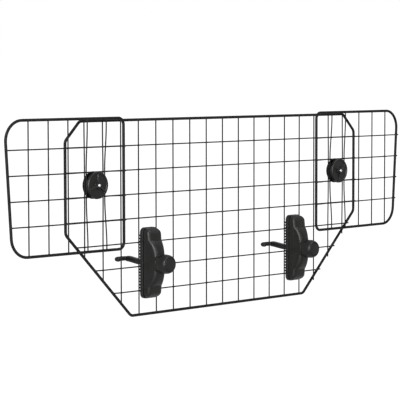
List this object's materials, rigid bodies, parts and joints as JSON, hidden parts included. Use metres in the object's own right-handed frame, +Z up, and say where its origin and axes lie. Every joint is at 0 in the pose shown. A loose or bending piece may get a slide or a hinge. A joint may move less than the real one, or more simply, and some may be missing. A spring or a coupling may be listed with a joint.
{
  "type": "car dog guard",
  "caption": "Welded wire mesh barrier behind car seats, with overlapping side panels in screw clamps and hook brackets that grip headrest posts.",
  "frame": {"origin": "midway along the guard, in the line of the headrest posts, at the height of the bracket knobs' axes", "axes": "+X to the right seen from the boot, +Y towards the seats, +Z up"},
  "size_m": [1.2086, 0.1388, 0.414],
  "materials": {
    "black_coat": "satin black powder coat on steel wire and rod",
    "black_plastic": "moulded black plastic with a fine grain",
    "black_rubber": "soft black sleeve, matt",
    "zinc_steel": "bright zinc plated steel",
    "brass": "turned brass"
  },
  "bodies": {
    "guard": {"centre_frame": "black_coat", "centre_mesh": "black_coat", "left_bracket_pad": "black_plastic", "left_bracket_body": "black_plastic", "left_bracket_screw_lower": "zinc_steel", "left_bracket_screw_upper": "zinc_steel", "right_bracket_pad": "black_plastic", "right_bracket_body": "black_plastic", "right_bracket_screw_lower": "zinc_steel", "right_bracket_screw_upper": "zinc_steel"},
    "left_clamp_core": {"left_clamp_back_disc": "black_plastic", "left_clamp_bolt": "zinc_steel"},
    "left_side_panel": {"left_side_frame": "black_coat", "left_side_mesh": "black_coat"},
    "left_clamp_pad": {"left_clamp_front_pad": "black_plastic"},
    "left_clamp_nut": {"left_clamp_wheel": "black_plastic", "left_clamp_insert": "brass"},
    "left_draw_hook": {"left_hook": "zinc_steel", "left_hook_arm_sleeve": "black_plastic", "left_hook_grip_sleeve": "black_rubber"},
    "left_draw_knob": {"left_knob": "black_plastic", "left_knob_insert": "brass", "left_knob_cap": "black_plastic"},
    "right_clamp_core": {"right_clamp_back_disc": "black_plastic", "right_clamp_bolt": "zinc_steel"},
    "right_side_panel": {"right_side_frame": "black_coat", "right_side_mesh": "black_coat"},
    "right_clamp_pad": {"right_clamp_front_pad": "black_plastic"},
    "right_clamp_nut": {"right_clamp_wheel": "black_plastic", "right_clamp_insert": "brass"},
    "right_draw_hook": {"right_hook": "zinc_steel", "right_hook_arm_sleeve": "black_plastic", "right_hook_grip_sleeve": "black_rubber"},
    "right_draw_knob": {"right_knob": "black_plastic", "right_knob_insert": "brass", "right_knob_cap": "black_plastic"}
  },
  "joints": [
    {"name": "left_panel_swivel", "type": "hinge", "parent": "guard", "child": "left_clamp_core", "pos_m": [-0.375, -0.044, 0.166], "axis": [0, -1, 0], "range_deg": [-3, 3]},
    {"name": "left_panel_slide", "type": "slide", "parent": "left_clamp_core", "child": "left_side_panel", "axis": [-1, 0, 0], "range_m": [-0.01, 0.01]},
    {"name": "left_clamp_release", "type": "slide", "parent": "left_clamp_core", "child": "left_clamp_pad", "axis": [0, -1, 0], "range_m": [0, 0.005]},
    {"name": "left_wheel_turn", "type": "hinge", "parent": "left_clamp_pad", "child": "left_clamp_nut", "pos_m": [-0.375, -0.044, 0.166], "axis": [0, -1, 0], "range_deg": [0, 1800]},
    {"name": "left_hook_draw", "type": "slide", "parent": "guard", "child": "left_draw_hook", "axis": [0, -1, 0], "range_m": [0, 0.015]},
    {"name": "left_knob_turn", "type": "hinge", "parent": "guard", "child": "left_draw_knob", "pos_m": [-0.232, -0.044, 0], "axis": [0, 1, 0], "range_deg": [0, 5400]},
    {"name": "right_panel_swivel", "type": "hinge", "parent": "guard", "child": "right_clamp_core", "pos_m": [0.375, -0.044, 0.166], "axis": [0, 1, 0], "range_deg": [-3, 3]},
    {"name": "right_panel_slide", "type": "slide", "parent": "right_clamp_core", "child": "right_side_panel", "axis": [1, 0, 0], "range_m": [-0.01, 0.01]},
    {"name": "right_clamp_release", "type": "slide", "parent": "right_clamp_core", "child": "right_clamp_pad", "axis": [0, -1, 0], "range_m": [0, 0.005]},
    {"name": "right_wheel_turn", "type": "hinge", "parent": "right_clamp_pad", "child": "right_clamp_nut", "pos_m": [0.375, -0.044, 0.166], "axis": [0, -1, 0], "range_deg": [0, 1800]},
    {"name": "right_hook_draw", "type": "slide", "parent": "guard", "child": "right_draw_hook", "axis": [0, -1, 0], "range_m": [0, 0.015]},
    {"name": "right_knob_turn", "type": "hinge", "parent": "guard", "child": "right_draw_knob", "pos_m": [0.218, -0.044, 0], "axis": [0, 1, 0], "range_deg": [0, 5400]}
  ],
  "couplings": [
    {"joint": "left_clamp_release", "follows": "left_wheel_turn", "m_per_rad": 0.00015915},
    {"joint": "left_hook_draw", "follows": "left_knob_turn", "m_per_rad": 0.00015915},
    {"joint": "right_clamp_release", "follows": "right_wheel_turn", "m_per_rad": 0.00015915},
    {"joint": "right_hook_draw", "follows": "right_knob_turn", "m_per_rad": 0.00015915}
  ]
}
